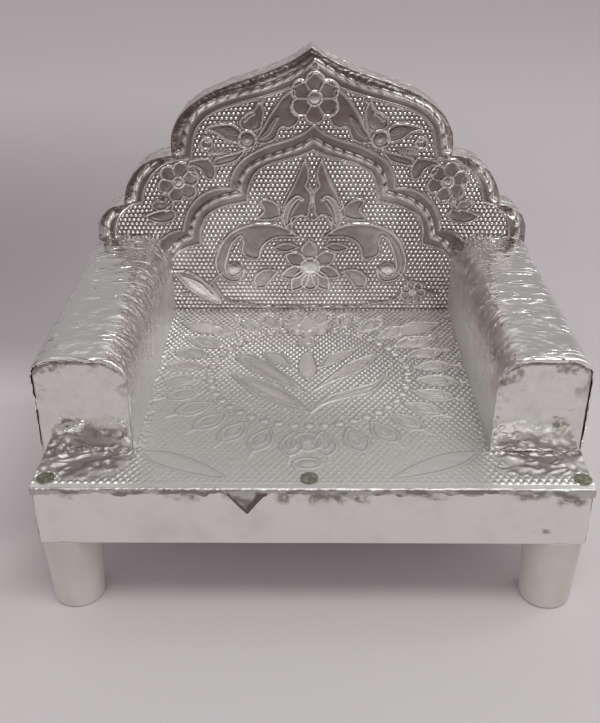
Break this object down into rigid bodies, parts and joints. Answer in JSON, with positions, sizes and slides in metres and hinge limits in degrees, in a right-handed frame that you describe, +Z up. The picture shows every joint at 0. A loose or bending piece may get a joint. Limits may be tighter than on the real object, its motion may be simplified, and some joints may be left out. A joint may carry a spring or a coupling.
{
  "type": "deity simhasan throne",
  "caption": "Small low throne for a household deity: embossed silver-foil seat between rounded block arms, a cusped arched back, and tapered white plastic legs.",
  "frame": {"origin": "on the floor plane that the four legs stand on, at the centre of the overall footprint", "axes": "+Z up, +Y from the open front towards the back, +X to the right as seen from the front"},
  "size_m": [0.1018, 0.0808, 0.0906],
  "materials": {
    "embossed_foil": "gloss",
    "crushed_foil": "gloss",
    "plain_foil": "gloss",
    "board_wood": "matte",
    "leg_plastic": "satin",
    "fastener_steel": "satin",
    "tack_steel": "satin"
  },
  "bodies": {
    "root": {"front_left_leg": "leg_plastic", "front_right_leg": "leg_plastic", "rear_left_leg": "leg_plastic", "rear_right_leg": "leg_plastic", "front_left_leg_screw": "fastener_steel", "front_right_leg_screw": "fastener_steel", "rear_left_leg_screw": "fastener_steel", "rear_right_leg_screw": "fastener_steel", "left_arm_front_nail": "fastener_steel", "left_arm_rear_nail": "fastener_steel", "left_arm_back_nail": "fastener_steel", "right_arm_front_nail": "fastener_steel", "right_arm_rear_nail": "fastener_steel", "right_arm_back_nail": "fastener_steel", "back_left_nail": "fastener_steel", "back_centre_nail": "fastener_steel", "back_right_nail": "fastener_steel", "centre_tack": "tack_steel", "left_tack": "tack_steel", "right_tack": "tack_steel", "seat_board": "board_wood", "back_board": "board_wood", "left_arm_block": "board_wood", "right_arm_block": "board_wood", "seat_sheet": "embossed_foil", "back_front_sheet": "embossed_foil", "left_arm_wrap": "crushed_foil", "right_arm_wrap": "crushed_foil", "base_edge_strip": "plain_foil", "back_edge_band": "plain_foil", "back_rear_sheet": "plain_foil", "left_arm_front_cap": "plain_foil", "right_arm_front_cap": "plain_foil"}
  },
  "joints": []
}
